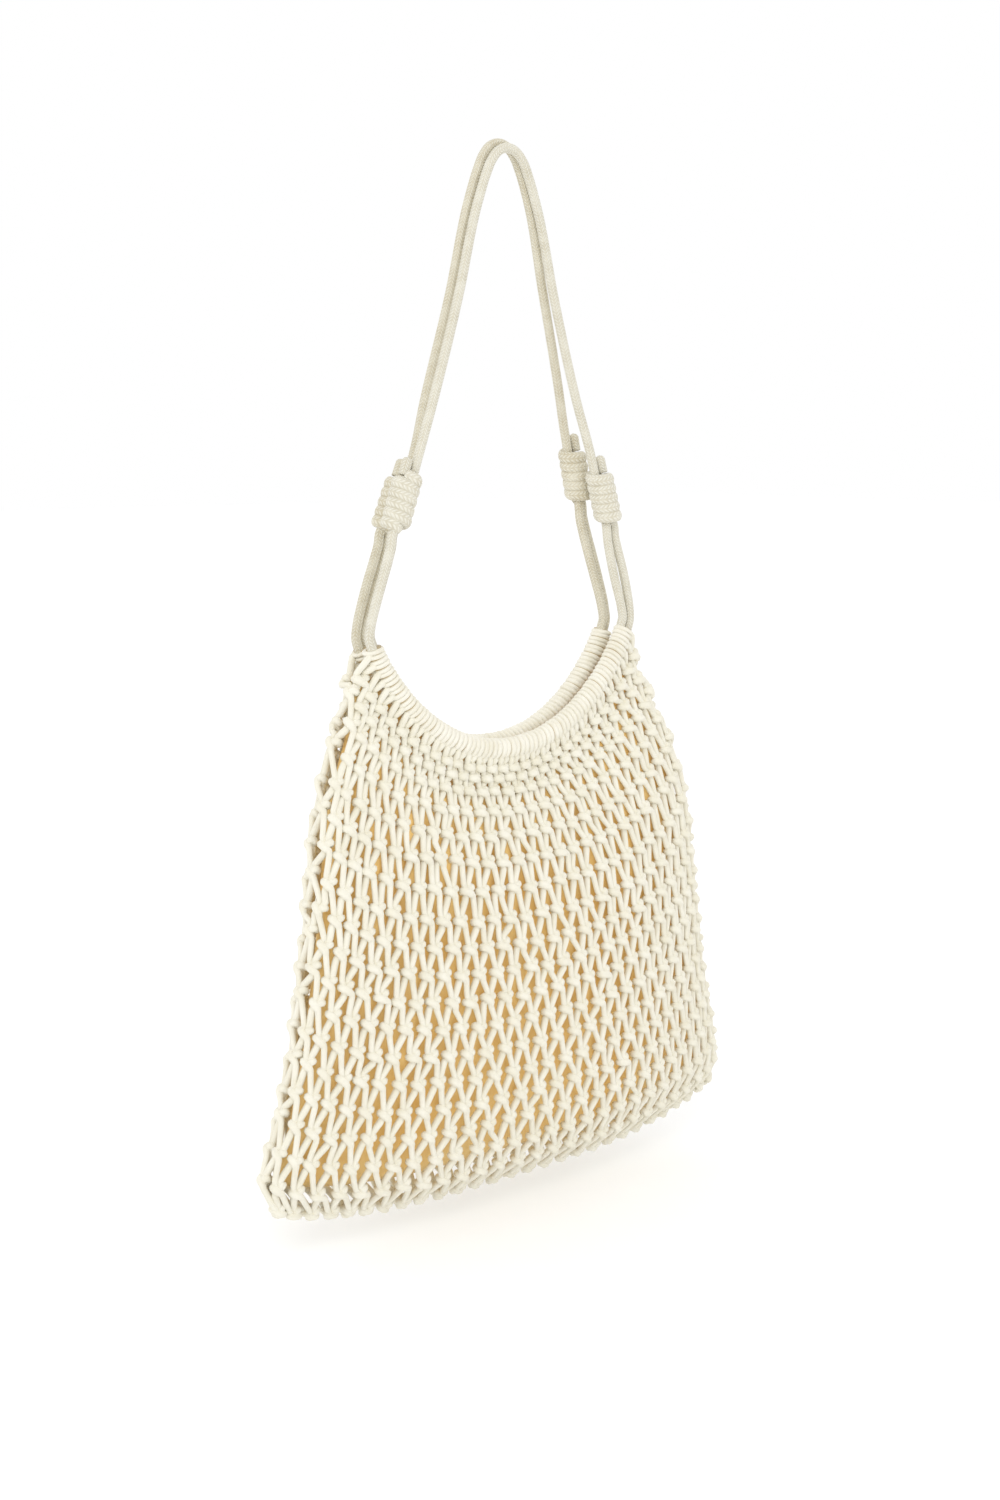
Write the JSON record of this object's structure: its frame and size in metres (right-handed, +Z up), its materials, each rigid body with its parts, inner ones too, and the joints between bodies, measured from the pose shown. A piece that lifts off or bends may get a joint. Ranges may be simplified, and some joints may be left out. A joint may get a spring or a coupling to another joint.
{
  "type": "cotton net beach bag",
  "caption": "Knotted cotton net beach bag over a cloth lining, with a U-shaped wrapped mouth and rope handles that end in coil knots, hanging.",
  "frame": {"origin": "hang point, under the tops of both rope handles, midway between them", "axes": "+Z up, +X to the right seen from the front, front of the bag faces -Y"},
  "size_m": [0.377, 0.0692, 0.6794],
  "materials": {
    "net_cotton": "matte",
    "rope_cotton": "matte",
    "lining_cotton": "matte"
  },
  "bodies": {
    "root": {"net_front": "net_cotton", "net_back": "net_cotton", "rim_front": "net_cotton", "rim_back": "net_cotton", "lining": "lining_cotton", "handle_front": "rope_cotton", "handle_back": "rope_cotton", "knot_front_left": "rope_cotton", "knot_front_right": "rope_cotton", "knot_back_left": "rope_cotton", "knot_back_right": "rope_cotton", "rope_end_front_left": "rope_cotton", "rope_end_front_right": "rope_cotton", "rope_end_back_left": "rope_cotton", "rope_end_back_right": "rope_cotton", "leg_front_left_inner": "rope_cotton", "leg_front_left_outer": "rope_cotton", "leg_front_right_inner": "rope_cotton", "leg_front_right_outer": "rope_cotton", "leg_back_left_inner": "rope_cotton", "leg_back_left_outer": "rope_cotton", "leg_back_right_inner": "rope_cotton", "leg_back_right_outer": "rope_cotton"}
  },
  "joints": []
}
